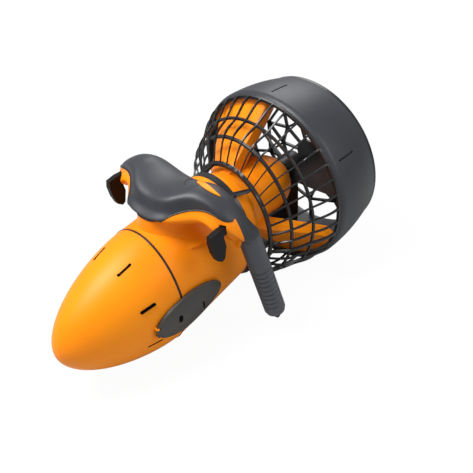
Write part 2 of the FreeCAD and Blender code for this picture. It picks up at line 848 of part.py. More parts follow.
def propeller():
    hub = rod_y(hub_r, hub_y0, hub_y0 + hub_length)
    blades = [blade(blade_phase + 360 / blade_count * k) for k in range(blade_count)]
    wheel = hub.multiFuse(blades)
    return wheel.cut(rod_y(shaft_r, hub_y0 - 1, hub_y0 + hub_length + 1)).removeSplitter()


def prop_nut():
    y0 = hub_y0 + hub_length
    y1 = y0 + nut_length
    edges = [
        Part.makeLine(yr(y0, shaft_r), yr(y0, nut_r)),
        Part.makeLine(yr(y0, nut_r), yr(y0 + nut_flange, nut_r)),
        Part.Arc(yr(y0 + nut_flange, nut_r), yr(y1 - nut_flange, nut_r * 0.8), yr(y1, nut_end_r)).toShape(),
        Part.makeLine(yr(y1, nut_end_r), yr(y1, shaft_r)),
        Part.makeLine(yr(y1, shaft_r), yr(y0, shaft_r)),
    ]
    return spun(edges)


def grip_axis():
    return (grip_point(grip_foot) - grip_point(grip_top)).normalize()


def wing_wire(x, height, lean, front, rear, crest, low, middle, high):
    """Closed outline across the wing: a blunt front face, a crown and a rounded back."""
    tilt = math.radians(lean)
    up = Vector(math.sin(tilt), 0, math.cos(tilt))
    rise = high - middle
    outline = (
        (front + 4, low + 3),
        (front, (low + middle) / 2),
        (front + front_lean, middle + 1),
        (front + 0.32 * (crest - front), middle + 0.66 * rise),
        (crest, high),
        (crest + 0.62 * (rear - crest), middle + 0.7 * rise),
        (rear, middle - 1),
        (rear - 6, low + 4),
        (front + 0.5 * (rear - front), low),
    )
    points = [Vector(x, bridge_y + y, bridge_z + height) + up * h for y, h in outline]
    curve = Part.BSplineCurve()
    curve.interpolate(points, PeriodicFlag=True)
    return Part.Wire(curve.toShape())


def grip_point(place):
    x, y, z = place
    return Vector(x, bridge_y + y, bridge_z + z)


def wing_form():
    """The whole handle from one grip to the other, with room for the grips' sleeves."""
    drop = grip_axis()
    lean = math.degrees(math.atan2(-drop.z, drop.x))
    x, y, z = Vector(*grip_top) + drop * grip_socket
    last = (x, z, lean, y - grip_front, y + grip_r, y - 2, -grip_r + 1, 4.0, grip_r)
    wires = [wing_wire(*station) for station in wing_stations] + [wing_wire(*last)]
    wing = Part.makeLoft([mirrored(wire) for wire in reversed(wires[1:])] + wires, True, False)
    room = along_grip(Part.makeCylinder(grip_r + grip_socket_clear, 4 * grip_r, ORIGIN, Z))
    return wing.cut(room).cut(mirrored(room))


def neck_form():
    """Pillar that flares from the hull's top into the wing."""
    wires = []
    for height, half_x, front, rear in neck_stations:
        y_mid = bridge_y + (front + rear) / 2
        wires.append(oval(Vector(0, y_mid, bridge_z + height), Y, X.negative(), (rear - front) / 2, half_x))
    return Part.makeLoft(wires, True, False)


def cover_region():
    """Space of the black cover: above the line, seen from the front, over the orange cheeks, and behind the grips' fronts."""
    points = [Vector(x, 0, bridge_z + z) for x, z in cheek_line]
    curve = Part.BSplineCurve()
    curve.interpolate([Vector(-p.x, 0, p.z) for p in reversed(points[1:])] + points)
    edge = points[-1].x
    top = bridge_z + seam_half_height
    loop = [points[-1], Vector(edge, 0, top), Vector(-edge, 0, top), Vector(-edge, 0, points[-1].z)]
    edges = [curve.toShape()] + [Part.makeLine(loop[i], loop[i + 1]) for i in range(3)]
    face = Part.Face(Part.Wire(edges))
    face.translate(Vector(0, y_seam - nose_length, 0))
    above = face.extrude(Vector(0, nose_length + hull_length + guard_length, 0))
    y0 = bridge_y + sleeve_split_y
    low = bridge_z - seam_half_height
    behind = [box(sleeve_split_x, edge, y0, y0 + hull_length, low, top)]
    behind.append(mirrored(behind[0]))
    return above.multiFuse(behind)


def handle_core(handle, region):
    """Orange bridge with its cheeks, which carries the cover, the grips and the triggers."""
    core = handle.cut(region).cut(hull_solid(0.0, y_seam - spigot_length, y_hull_end + hub_width))
    tongues = [tongue(), mirrored(tongue())]
    slots = [trigger_slot_form(), mirrored(trigger_slot_form())]
    return core.multiFuse(tongues).cut(Part.makeCompound(slots))


def tongue():
    """Pointed foot of the cheek that lies on the front of the grip."""
    centre = grip_point(grip_top)
    y0 = centre.y - grip_front + 1.0
    y1 = centre.y - grip_r
    x0 = centre.x - 2
    top = centre.z + grip_r
    foot = centre.z - tongue_length
    corners = [Vector(x0 - tongue_half, 0, top), Vector(x0 + tongue_half, 0, top), Vector(x0 - 1, 0, foot)]
    bend = Vector(x0 + tongue_half - 1, 0, centre.z - 2)
    edges = [
        Part.makeLine(corners[0], corners[1]),
        Part.Arc(corners[1], bend, corners[2]).toShape(),
        Part.makeLine(corners[2], corners[0]),
    ]
    blank = Part.Face(Part.Wire(edges))
    blank.translate(Vector(0, y0, 0))
    return blank.extrude(Vector(0, y1 - y0, 0))


def saddle_cover(handle, region):
    return handle.common(region).cut(Part.makeCompound([tongue(), mirrored(tongue())]))


def trigger_place():
    y, z = trigger_pivot
    return Vector(trigger_x, bridge_y + y, bridge_z + z)


def trigger_slot_form():
    """Slot in the cheek that the trigger's boss and arm sit in, with the bore for its pin."""
    pivot = trigger_place()
    ahead, behind, high = trigger_slot
    half = trigger_width / 2 + trigger_gap
    slot = box(pivot.x - half, pivot.x + half, pivot.y - ahead, pivot.y + trigger_boss_r + 1, pivot.z - high, pivot.z + behind)
    return slot.fuse(trigger_pin())


def trigger():
    """Finger lever: a plate with chamfered corners and a boss on its pin."""
    pivot = trigger_place()
    x0 = pivot.x - trigger_width / 2
    corners = [Vector(x0, pivot.y + y, pivot.z + z) for y, z in trigger_outline]
    plate = Part.Face(Part.makePolygon(corners + corners[:1])).extrude(Vector(trigger_width, 0, 0))
    boss = Part.makeCylinder(trigger_boss_r, trigger_width, Vector(x0, pivot.y, pivot.z), X)
    bore = Part.makeCylinder(trigger_pin_r + shaft_fit, 2 * trigger_width, Vector(x0 - trigger_width / 2, pivot.y, pivot.z), X)
    return plate.fuse(boss).cut(bore).removeSplitter()


def trigger_pin():
    pivot = trigger_place()
    half = trigger_width / 2 + trigger_gap + trigger_wall
    return Part.makeCylinder(trigger_pin_r, 2 * half, Vector(pivot.x - half, pivot.y, pivot.z), X)


def along_grip(shape):
    """Carries a shape drawn up the Z axis onto the port grip's axis, top at the origin."""
    down = grip_axis()
    long_axis = (Y - down * Y.dot(down)).normalize()
    shape.Placement = Placement(grip_point(grip_top), Rotation(long_axis, down.cross(long_axis), down, "ZXY"))
    return shape


def grip_length():
    return (grip_point(grip_foot) - grip_point(grip_top)).Length


def grip_sleeve():
    """Rubber sleeve with a run of grooves around its lower half."""
    profile = [Vector(grip_core_r, 0, 0), Vector(grip_r, 0, 0)]
    first = grip_length() - grip_foot_plain - groove_pitch * groove_count
    for k in range(groove_count):
        z = first + groove_pitch * k
        profile.append(Vector(grip_r, 0, z))
        profile.append(Vector(grip_r - groove_depth, 0, z + groove_width / 2))
        profile.append(Vector(grip_r, 0, z + groove_width))
    profile.append(Vector(grip_r, 0, grip_length() - grip_foot_plain / 2))
    profile.append(Vector(grip_r - grip_chamfer, 0, grip_length()))
    profile.append(Vector(grip_core_r, 0, grip_length()))
    face = Part.Face(Part.makePolygon(profile + profile[:1]))
    return along_grip(face.revolve(ORIGIN, Z, 360))


def grip_core():
    """Tube inside the sleeve, closed by a tapered end that carries the lanyard eye."""
    long = grip_length()
    bore_r = grip_core_r - spigot_wall
    core = Part.makeCylinder(grip_core_r, long, ORIGIN, Z)
    core = core.cut(Part.makeCylinder(bore_r, long - cap_length, ORIGIN, Z))
    core = core.fuse(Part.makeCone(grip_r - grip_chamfer, bore_r, cap_length, Vector(0, 0, long), Z))
    eye_z = long + cap_length + eye_r + eye_rise
    eye = Part.makeCylinder(eye_r + eye_wall, eye_thick, Vector(0, -eye_thick / 2, eye_z), Y)
    eye = eye.fuse(box(-eye_r, eye_r, -eye_thick / 2, eye_thick / 2, long + cap_length / 2, eye_z))
    hole = Part.makeCylinder(eye_r, 4 * grip_r, Vector(0, -2 * grip_r, eye_z), Y)
    return along_grip(core.fuse(eye).cut(hole).removeSplitter())


def bulkhead():
    return hull_solid(-wall - bulkhead_fit, bulkhead_y, bulkhead_y + bulkhead_thick)


def battery_tray():
    half_x, _, high = (size / 2 for size in battery_size)
    z0 = seam_z - high - tray_thick
    floor = box(-half_x - tray_thick, half_x + tray_thick, battery_y0, bulkhead_y, z0, z0 + tray_thick)
    walls = []
    for side in (-1, 1):
        x = side * (half_x + tray_thick / 2)
        walls.append(box(x - tray_thick / 2, x + tray_thick / 2, battery_y0, bulkhead_y, z0, z0 + tray_side))
    return floor.multiFuse(walls).removeSplitter()


def battery_pack():
    half_x, _, high = (size / 2 for size in battery_size)
    return box(-half_x, half_x, battery_y0, battery_y0 + battery_size[1], seam_z - high, seam_z + high)


def control_board():
    wide, long, thick = board_size
    y0 = bulkhead_y + bulkhead_thick
    z0 = end_z - board_drop
    return box(-wide / 2, wide / 2, y0, y0 + long, z0, z0 + thick)


def main():
    os.makedirs("parts", exist_ok=True)
    handle = wing_form().fuse(neck_form())
    region = cover_region()
    save("nose_cone", nose_cone())
    save("nose_collar", nose_collar())
    save("seam_seal", seam_seal())
    save("spigot_seal", spigot_seal())
    save("main_hull", main_hull())
    save("tail_housing", tail_housing())
    save("stator_vanes", stator_vanes())
    save("duct", duct())
    save("front_guard", front_guard())
    save("rear_guard", rear_guard())
    save("rim_screws", rim_screws())
    save("motor", motor())
    save("motor_mount", motor_mount())
    save("gearbox", gearbox())
    save("shaft_bearings", shaft_bearings())
    save("shaft_seal", shaft_seal())
    save("prop_shaft", prop_shaft())
    save("propeller", propeller())
    save("prop_nut", prop_nut())
    save("handle_core", handle_core(handle, region))
    save("saddle_cover", saddle_cover(handle, region))
    for name, make in (
        ("grip_sleeve", grip_sleeve),
        ("grip_core", grip_core),
        ("trigger", trigger),
        ("trigger_pin", trigger_pin),
        ("latch", latch),
        ("latch_pin", latch_pin),
    ):
        port = make()
        save(name + "_port", port)
        save(name + "_starboard", mirrored(port))
    save("bulkhead", bulkhead())
    save("battery_tray", battery_tray())
    save("battery_pack", battery_pack())
    save("control_board", control_board())


main()
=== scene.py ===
import bpy
import math
from mathutils import Matrix, Vector


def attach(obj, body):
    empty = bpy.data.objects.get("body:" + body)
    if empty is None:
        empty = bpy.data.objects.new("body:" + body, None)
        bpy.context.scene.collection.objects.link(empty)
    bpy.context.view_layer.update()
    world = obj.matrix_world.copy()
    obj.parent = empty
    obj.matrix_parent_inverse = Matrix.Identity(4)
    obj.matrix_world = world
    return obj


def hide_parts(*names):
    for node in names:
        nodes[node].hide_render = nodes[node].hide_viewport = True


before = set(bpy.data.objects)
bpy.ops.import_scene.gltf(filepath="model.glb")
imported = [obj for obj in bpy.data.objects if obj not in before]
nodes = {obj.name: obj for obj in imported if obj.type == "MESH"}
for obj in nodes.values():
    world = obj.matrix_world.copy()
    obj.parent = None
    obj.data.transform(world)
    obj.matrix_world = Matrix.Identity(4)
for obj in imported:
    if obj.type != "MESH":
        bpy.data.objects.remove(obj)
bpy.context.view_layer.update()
bpy.ops.object.select_all(action="DESELECT")

# Floor and light
# A plain white floor, a large soft lamp above the nose, weaker ones to port and behind,
# and a pale sky around it all.
white = (1, 1, 1, 1)
floor_side = 12
floor_grey = (0.5, 0.5, 0.5, 1)
floor_rough = 0.7
floor_glow_strength = 1.04
floor_glow_share = 0.92
sky_colour = (0.95, 0.97, 1.0, 1)
sky_strength = 0.42
lamp_target = Vector((0, 0, 0.15))

bpy.ops.mesh.primitive_plane_add(size=floor_side, location=(0, 0, 0))
floor = bpy.context.object
floor.name = "floor"
floor_paint = bpy.data.materials.new("studio_floor")
floor_paint.use_nodes = True
tree = floor_paint.node_tree
floor_shader = tree.nodes["Principled BSDF"]
floor_shader.inputs["Base Color"].default_value = floor_grey
floor_shader.inputs["Roughness"].default_value = floor_rough
floor_glow = tree.nodes.new("ShaderNodeEmission")
floor_glow.inputs["Color"].default_value = white
floor_glow.inputs["Strength"].default_value = floor_glow_strength
floor_view = tree.nodes.new("ShaderNodeMixShader")
floor_eye = tree.nodes.new("ShaderNodeLightPath")
floor_share = tree.nodes.new("ShaderNodeMath")
floor_share.operation = "MULTIPLY"
floor_share.inputs[1].default_value = floor_glow_share
tree.links.new(floor_eye.outputs["Is Camera Ray"], floor_share.inputs[0])
tree.links.new(floor_share.outputs[0], floor_view.inputs["Fac"])
tree.links.new(floor_shader.outputs["BSDF"], floor_view.inputs[1])
tree.links.new(floor_glow.outputs["Emission"], floor_view.inputs[2])
tree.links.new(floor_view.outputs["Shader"], tree.nodes["Material Output"].inputs["Surface"])
floor.data.materials.append(floor_paint)

sky = bpy.data.worlds.new("pale_studio")
sky.use_nodes = True
bpy.context.scene.world = sky
tree = sky.node_tree
sky_light = tree.nodes["Background"]
sky_light.inputs["Color"].default_value = sky_colour
sky_light.inputs["Strength"].default_value = sky_strength
sky_seen = tree.nodes.new("ShaderNodeBackground")
sky_seen.inputs["Color"].default_value = white
sky_seen.inputs["Strength"].default_value = 1.0
sky_mix = tree.nodes.new("ShaderNodeMixShader")
sky_eye = tree.nodes.new("ShaderNodeLightPath")
tree.links.new(sky_eye.outputs["Is Camera Ray"], sky_mix.inputs["Fac"])
tree.links.new(sky_light.outputs["Background"], sky_mix.inputs[1])
tree.links.new(sky_seen.outputs["Background"], sky_mix.inputs[2])
tree.links.new(sky_mix.outputs["Shader"], tree.nodes["World Output"].inputs["Surface"])


def soft_lamp(name, place, size, watts):
    """Square soft box that faces the middle of the scooter."""
    bpy.ops.object.light_add(type="AREA", location=place)
    lamp = bpy.context.object
    lamp.name = name
    lamp.data.size = size
    lamp.data.energy = watts
    lamp.rotation_euler = (lamp_target - Vector(place)).to_track_quat("-Z", "Y").to_euler()


soft_lamp("lamp_above_nose", place=(-0.45, -0.75, 1.9), size=0.9, watts=50)
soft_lamp("lamp_port", place=(1.5, 0.7, 1.2), size=0.8, watts=9)
soft_lamp("lamp_behind", place=(-0.8, 1.4, 1.3), size=0.9, watts=12)

# Camera
# Stands to port of the nose and looks down on it through a fairly long lens, with a slight
# roll, as in the photograph.
camera_place = Vector((0.7584, -0.5934, 0.8773))
camera_right = Vector((0.7126, 0.6966, -0.0829))
camera_up = Vector((-0.3825, 0.4849, 0.7865))
bpy.ops.object.camera_add(location=camera_place)
camera = bpy.context.object
camera.name = "camera"
camera_back = camera_right.cross(camera_up)
turn = Matrix((camera_right, camera_up, camera_back)).transposed()
camera.matrix_world = Matrix.Translation(camera_place) @ turn.to_4x4()
camera.data.lens = 56.34
camera.data.sensor_width = 36
bpy.context.scene.camera = camera
bpy.context.scene.view_settings.view_transform = "Standard"


# Nose shell
# Egg-shaped shell, injection moulded in orange plastic that is satin to glossy, with slow
# drifts of shade, a faint mould grain and the hairlines and rubbed spots of use.
def plastic(
    name,
    colour,
    deep,
    rough,
    grain,
    relief,
    scuff=0.0,
    scuff_colour=(1, 1, 1),
    metallic=0.0,
    gloss=0.5,
):
    """Moulded plastic or metal with drifting shade, grain, hairline scratches and small scuffs."""
    paint = bpy.data.materials.new(name)
    paint.use_nodes = True
    tree = paint.node_tree
    shader = tree.nodes["Principled BSDF"]
    shader.inputs["Metallic"].default_value = metallic
    shader.inputs["Specular IOR Level"].default_value = gloss
    place = tree.nodes.new("ShaderNodeTexCoord")

    def noise(scale, detail, stretch=(1, 1, 1), turned=(0, 0, 0)):
        lay = tree.nodes.new("ShaderNodeMapping")
        lay.inputs["Scale"].default_value = stretch
        lay.inputs["Rotation"].default_value = turned
        cloud = tree.nodes.new("ShaderNodeTexNoise")
        cloud.inputs["Scale"].default_value = scale
        cloud.inputs["Detail"].default_value = detail
        tree.links.new(place.outputs["Object"], lay.inputs["Vector"])
        tree.links.new(lay.outputs["Vector"], cloud.inputs["Vector"])
        return cloud.outputs["Fac"]

    def spread(value, low, high, to_low, to_high):
        ramp = tree.nodes.new("ShaderNodeMapRange")
        ramp.interpolation_type = "SMOOTHSTEP"
        ramp.inputs["From Min"].default_value = low
        ramp.inputs["From Max"].default_value = high
        ramp.inputs["To Min"].default_value = to_low
        ramp.inputs["To Max"].default_value = to_high
        tree.links.new(value, ramp.inputs["Value"])
        return ramp.outputs["Result"]

    def blend(share, first, second):
        mix = tree.nodes.new("ShaderNodeMix")
        mix.data_type = "RGBA"
        mix.inputs["B"].default_value = (*second, 1)
        tree.links.new(share, mix.inputs["Factor"])
        if isinstance(first, tuple):
            mix.inputs["A"].default_value = (*first, 1)
        else:
            tree.links.new(first, mix.inputs["A"])
        return mix.outputs["Result"]

    def combine(operation, first, second):
        sum_or_most = tree.nodes.new("ShaderNodeMath")
        sum_or_most.operation = operation
        tree.links.new(first, sum_or_most.inputs[0])
        tree.links.new(second, sum_or_most.inputs[1])
        return sum_or_most.outputs[0]

    drift = noise(scale=7.0, detail=3.0)
    tint = blend(spread(drift, low=0.3, high=0.7, to_low=0.0, to_high=1.0), deep, colour)
    scratches = noise(scale=55.0, detail=2.0, stretch=(1.0, 14.0, 9.0), turned=(0.4, 0.9, 0.2))
    hairs = spread(scratches, low=0.69, high=0.74, to_low=0.0, to_high=scuff)
    rubs = spread(noise(scale=26.0, detail=5.0), low=0.64, high=0.74, to_low=0.0, to_high=scuff)
    worn = combine("MAXIMUM", hairs, rubs)
    tree.links.new(blend(worn, tint, scuff_colour), shader.inputs["Base Color"])
    speck = noise(scale=grain, detail=4.0)
    shine = spread(speck, low=0.3, high=0.7, to_low=rough * 0.86, to_high=rough * 1.18)
    tree.links.new(combine("ADD", shine, worn), shader.inputs["Roughness"])
    bump = tree.nodes.new("ShaderNodeBump")
    bump.inputs["Strength"].default_value = relief
    bump.inputs["Distance"].default_value = 0.0003
    tree.links.new(speck, bump.inputs["Height"])
    tree.links.new(bump.outputs["Normal"], shader.inputs["Normal"])
    return paint


def dress(paint, *names):
    """Gives CAD nodes a finish in place of their plain one."""
    for name in names:
        mesh = nodes[name].data
        mesh.materials.clear()
        mesh.materials.append(paint)


orange = plastic(
    "orange_shell",
    colour=(0.98, 0.29, 0.002),
    deep=(0.94, 0.245, 0.001),
    rough=0.42,
    grain=700.0,
    relief=0.07,
    scuff=0.05,
    scuff_colour=(1.0, 0.5, 0.12),
    gloss=0.22,
)
dress(orange, "nose_cone")

# Nose slots
# Eight short round-ended grip slots round the nose, an eighth of a turn apart and behind its
# widest bend. A dull black strip over each, hardly proud of the shell, paints the shade inside the
# slot.
black = plastic(
    "black_plastic",
    colour=(0.016, 0.016, 0.017),
    deep=(0.011, 0.011, 0.012),
    rough=0.36,
    grain=1100.0,
    relief=0.1,
    scuff=0.02,
    scuff_colour=(0.2, 0.2, 0.2),
)
# Dull black, kept matt, for the strips that paint the shade inside the nose slots and the latch
# notches
recess_shade_black = plastic(
    "painted_recess_shade",
    colour=(0.004, 0.004, 0.004),
    deep=(0.003, 0.003, 0.003),
    rough=0.8,
    grain=900.0,
    relief=0.1,
    scuff_colour=(0.1, 0.1, 0.1),
    gloss=0.05,
)
axis_height = 0.160
seam_y = -0.108
seam_height = axis_height - 0.0235 - 0.0248
# The shell's egg shape, as in the solid
nose_long = 0.182
nose_high = 0.104
nose_narrow = 0.084 / 0.104
nose_lean = 0.0137 / 0.182
nose_fullness = 1.61
nose_bluntness = 1 / 1.87
nose_slot_count = 8
nose_slot_front = -0.1758
nose_slot_back = -0.1502
nose_slot_middle = -0.163
nose_slot_proud = 0.0001
nose_slot_width = 0.0046
below_shell = -0.02
strip_thick = 0.0005
# Rounding of a strip's ends as a share of its width
strip_round = 0.49


def nose_spot(y, angle, proud=0.0):
    """Point at a station and an angle round the leaned nose, on its surface or proud of it."""
    part = (y - seam_y + nose_long) / nose_long
    radius = nose_high * (1 - (1 - part) ** nose_fullness) ** nose_bluntness + proud
    a = math.radians(angle)
    height = seam_height + nose_lean * (y - seam_y)
    return Vector((radius * math.cos(a) * nose_narrow, y, height + radius * math.sin(a)))


def slot_strip(name, front, back, outwards, width, paint, body):
    """Thin round-ended strip from one point to another, with its face towards a direction."""
    along = back - front
    bpy.ops.mesh.primitive_cube_add(size=1)
    plate = bpy.context.object
    plate.name = name
    plate.scale = (strip_thick, along.length, width)
    bpy.ops.object.transform_apply(location=False, rotation=False, scale=True)
    bpy.ops.object.mode_set(mode="EDIT")
    bpy.ops.mesh.select_all(action="DESELECT")
    bpy.ops.object.mode_set(mode="OBJECT")
    for edge in plate.data.edges:
        a, b = (plate.data.vertices[i].co for i in edge.vertices)
        edge.select = abs(a.x - b.x) > strip_thick / 2
    bpy.ops.object.mode_set(mode="EDIT")
    bpy.ops.mesh.select_mode(type="EDGE")
    bpy.ops.mesh.bevel(offset=width * strip_round, segments=6, affect="EDGES")
    bpy.ops.object.mode_set(mode="OBJECT")
    y_axis = along.normalized()
    z_axis = outwards.cross(y_axis).normalized()
    x_axis = y_axis.cross(z_axis)
    turn = Matrix((x_axis, y_axis, z_axis)).transposed().to_4x4()
    plate.data.transform(Matrix.Translation((front + back) / 2) @ turn)
    plate.data.materials.append(paint)
    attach(plate, body)


for k in range(nose_slot_count):
    angle = 360 / nose_slot_count * (k + 0.5)
    front = nose_spot(nose_slot_front, angle, nose_slot_proud)
    back = nose_spot(nose_slot_back, angle, nose_slot_proud)
    middle = nose_spot(nose_slot_middle, angle)
    outwards = middle - nose_spot(nose_slot_middle, angle, below_shell)
    slot_strip("nose_slot_%d" % k, front, back, outwards, nose_slot_width, recess_shade_black, "nose")

# Collar and seals
# The black ring in the nose's mouth and its rubber rings; of these only the edge of the seam
# seal shows, as a thin black line between nose and hull.
seal_rubber = plastic(
    "seal_rubber",
    colour=(0.010, 0.010, 0.010),
    deep=(0.007, 0.007, 0.007),
    rough=0.5,
    grain=900.0,
    relief=0.15,
)
dress(black, "nose_collar")
dress(seal_rubber, "seam_seal", "spigot_seal", "shaft_seal")

# Main hull
# The orange shell behind the seam, moulded in the same plastic as the nose, which slides
# onto a spigot in its mouth.
dress(orange, "main_hull")

# Side latches
# Oval levers over the seam, moulded in a warm grey plastic, each hinged on a steel pin at its
# front end. Two notches are sunk in the face of each, and a dull black strip in each paints the
# shade inside it.
latch_grey = plastic(
    "latch_plastic",
    colour=(0.040, 0.037, 0.031),
    deep=(0.028, 0.026, 0.022),
    rough=0.34,
    grain=900.0,
    relief=0.12,
    scuff=0.05,
    scuff_colour=(0.2, 0.19, 0.17),
)
steel = plastic(
    "steel",
    colour=(0.56, 0.56, 0.57),
    deep=(0.48, 0.48, 0.49),
    rough=0.26,
    grain=500.0,
    relief=0.06,
    scuff=0.08,
    scuff_colour=(0.75, 0.75, 0.75),
    metallic=1.0,
)
dress(latch_grey, "latch_port", "latch_starboard")
dress(steel, "latch_pin_port", "latch_pin_starboard")
# Top, foot and width of each notch on the port side
latch_notches = (
    ("wide", (0.0903, -0.1206, 0.1090), (0.0893, -0.1212, 0.0960), 0.0070),
    ("narrow", (0.0893, -0.0731, 0.1035), (0.0863, -0.0713, 0.0870), 0.0024),
)
# A dull black strip laid in each notch paints the shade inside it
for side, hand in (("port", 1), ("starboard", -1)):
    for kind, top, foot, width in latch_notches:
        name = "latch_notch_%s_%s" % (kind, side)
        ends = [Vector((x * hand, y, z)) for x, y, z in (top, foot)]
        slot_strip(name, *ends, Vector((hand, 0, 0)), width, recess_shade_black, "latch_" + side)


# Seam line
# The thin black lip that shows all round the nose's rear edge. It is a rubber bead, pressed
# onto that edge, and goes with the nose.
seam_rear = -0.1095
seam_radius = 0.0009


def take(piece):
    """Makes a piece the only selected object and the active one."""
    bpy.ops.object.select_all(action="DESELECT")
    piece.select_set(True)
    bpy.context.view_layer.objects.active = piece


def node_copy(name, node):
    """Copy of a CAD node's mesh with its loose triangles merged, as a new piece."""
    mesh = nodes[node].data.copy()
    mesh.transform(nodes[node].matrix_world)
    piece = bpy.data.objects.new(name, mesh)
    bpy.context.collection.objects.link(piece)
    take(piece)
    bpy.ops.object.mode_set(mode="EDIT")
    bpy.ops.mesh.select_all(action="SELECT")
    bpy.ops.mesh.remove_doubles(threshold=0.00001)
    bpy.ops.object.mode_set(mode="OBJECT")
    return piece


def edge_bead(name, node, keeps, radius, paint, body):
    """Round bead along those sharp edges of a CAD node that a test keeps."""
    bead = node_copy(name, node)
    mesh = bead.data
    bpy.ops.object.mode_set(mode="EDIT")
    bpy.ops.mesh.select_mode(type="EDGE")
    bpy.ops.mesh.select_all(action="DESELECT")
    bpy.ops.mesh.edges_select_sharp(sharpness=math.radians(32))
    bpy.ops.object.mode_set(mode="OBJECT")
    for edge in mesh.edges:
        if edge.select:
            a, b = (mesh.vertices[i].co for i in edge.vertices)
            edge.select = keeps((a + b) / 2)
    bpy.ops.object.mode_set(mode="EDIT")
    bpy.ops.mesh.select_all(action="INVERT")
    bpy.ops.mesh.delete(type="EDGE_FACE")
    bpy.ops.mesh.select_mode(type="VERT")
    bpy.ops.mesh.select_all(action="DESELECT")
    bpy.ops.object.mode_set(mode="OBJECT")
    for vertex in mesh.vertices:
        vertex.select = not keeps(vertex.co)
    bpy.ops.object.mode_set(mode="EDIT")
    bpy.ops.mesh.delete(type="VERT")
    bpy.ops.object.mode_set(mode="OBJECT")
    bpy.ops.object.convert(target="CURVE")
    bead.data.bevel_depth = radius
    bead.data.bevel_resolution = 2
    bpy.ops.object.convert(target="MESH")
    bead.data.materials.clear()
    bead.data.materials.append(paint)
    bpy.ops.object.shade_smooth()
    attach(bead, body)


edge_bead(
    "seam_line",
    "nose_cone",
    lambda p: p.y > seam_rear,
    seam_radius,
    black,
    "nose",
)

# Handle core
# Orange bridge that stands on the hull's back, moulded in the same plastic. Its cheeks show
# below the cover on both sides.
dress(orange, "handle_core")

# Saddle cover
# Charcoal cover that is moulded over the bridge from one grip to the other, with a raised black
# lip along the cheeks, and an orange inlay at its port rear beside a curved groove, whose shade is
# painted as a thin black line.
charcoal = plastic(
    "charcoal_plastic",
    colour=(0.029, 0.031, 0.038),
    deep=(0.021, 0.023, 0.028),
    rough=0.46,
    grain=1500.0,
    relief=0.22,
    scuff=0.03,
    scuff_colour=(0.14, 0.15, 0.16),
)
cover = nodes["saddle_cover"]
above_cover = 0.4
lip_low = 0.2
lip_rear = -0.025
lip_radius = 0.0012
dress(charcoal, "saddle_cover")
edge_bead(
    "saddle_lip",
    "saddle_cover",
    lambda p: p.z > lip_low and p.y < lip_rear,
    lip_radius,
    black,
    "hull",
)


def on_cover(x, y, height):
    """Point a little above the cover's top at a place seen from above."""
    place = cover.ray_cast(Vector((x, y, above_cover)), Vector((0, 0, -1)))[1]
    return place + Vector((0, 0, height))


inlay_in = 0.031
inlay_out = 0.095
inlay_half = 0.0052
inlay_taper = 0.8
inlay_y = -0.0215
inlay_slant = -0.007
inlay_bow = 0.0095
inlay_lift = 0.0005
inlay_thick = 0.0012
bpy.ops.object.select_all(action="DESELECT")
bpy.ops.mesh.primitive_grid_add(x_subdivisions=28, y_subdivisions=6, size=2)
inlay = bpy.context.object
inlay.name = "cover_inlay"
for vertex in inlay.data.vertices:
    along, across = vertex.co.x, vertex.co.y
    x = (inlay_in + inlay_out) / 2 + along * (inlay_out - inlay_in) / 2
    narrowed = (1.0001 - along * along) ** inlay_taper
    y = inlay_y + inlay_slant * along + inlay_bow * along * along + across * inlay_half * narrowed
    vertex.co = on_cover(x, y, inlay_lift)
bpy.ops.object.mode_set(mode="EDIT")
bpy.ops.mesh.select_all(action="SELECT")
bpy.ops.mesh.remove_doubles(threshold=0.00005)
bpy.ops.mesh.normals_make_consistent(inside=False)
bpy.ops.object.mode_set(mode="OBJECT")
depth = inlay.modifiers.new("depth", "SOLIDIFY")
depth.thickness = inlay_thick
depth.offset = 0
bpy.ops.object.modifier_apply(modifier=depth.name)
bpy.ops.object.shade_smooth_by_angle(angle=math.radians(40))
inlay.data.materials.append(orange)
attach(inlay, "hull")

# The groove is a thin black tube laid just on the cover's top; its black is the groove's painted
# shade
groove_radius = 0.0008
groove_lift = 0.0001
groove_course = (
    (0.031, -0.031),
    (0.022, -0.024),
    (0.015, -0.014),
    (0.014, -0.005),
    (0.020, 0.000),
    (0.030, -0.003),
)
course = bpy.data.curves.new("cover_groove_shade", "CURVE")
course.dimensions = "3D"
course.bevel_depth = groove_radius
course.bevel_resolution = 2
course.use_fill_caps = True
line = course.splines.new("NURBS")
line.points.add(len(groove_course) - 1)
line.use_endpoint_u = True
for knot, (x, y) in zip(line.points, groove_course):
    knot.co = (*on_cover(x, y, groove_lift), 1)
groove_shade_line = bpy.data.objects.new("cover_groove_shade", course)
bpy.context.collection.objects.link(groove_shade_line)
take(groove_shade_line)
bpy.ops.object.convert(target="MESH")
bpy.ops.object.shade_smooth()
groove_shade_line.data.materials.append(black)
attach(groove_shade_line, "hull")

# Grips
# Ribbed rubber sleeves drawn over black tubes, which end in a tapered foot with the lanyard
# eye.
rubber = plastic(
    "grip_rubber",
    colour=(0.066, 0.070, 0.084),
    deep=(0.050, 0.053, 0.064),
    rough=0.42,
    grain=1900.0,
    relief=0.3,
    scuff=0.03,
    scuff_colour=(0.15, 0.15, 0.16),
)
dress(rubber, "grip_sleeve_port", "grip_sleeve_starboard")
dress(black, "grip_core_port", "grip_core_starboard")

# Triggers
# Finger levers moulded in dull black plastic, one in front of each grip, hinged on steel pins
# below the cheeks.
trigger_black = plastic(
    "trigger_plastic",
    colour=(0.007, 0.007, 0.008),
    deep=(0.005, 0.005, 0.006),
    rough=0.5,
    grain=1100.0,
    relief=0.1,
    scuff=0.02,
    scuff_colour=(0.15, 0.15, 0.15),
    gloss=0.2,
)
dress(trigger_black, "trigger_port", "trigger_starboard")
dress(steel, "trigger_pin_port", "trigger_pin_starboard")

# Tail housing
# The orange tail, moulded in the hull's plastic and fixed to its rear edge, narrows to the
# motor's pod.
dress(orange, "tail_housing")

# Stator vanes
# Two broad orange vanes sweep back from the tail to the duct like slices of a cone. Each is a
# thick moulded slab with flat ends, fixed in the tail and the duct's bore.
vane_turn = 60
vane_steps = 20
vane_rounding = 0.0016
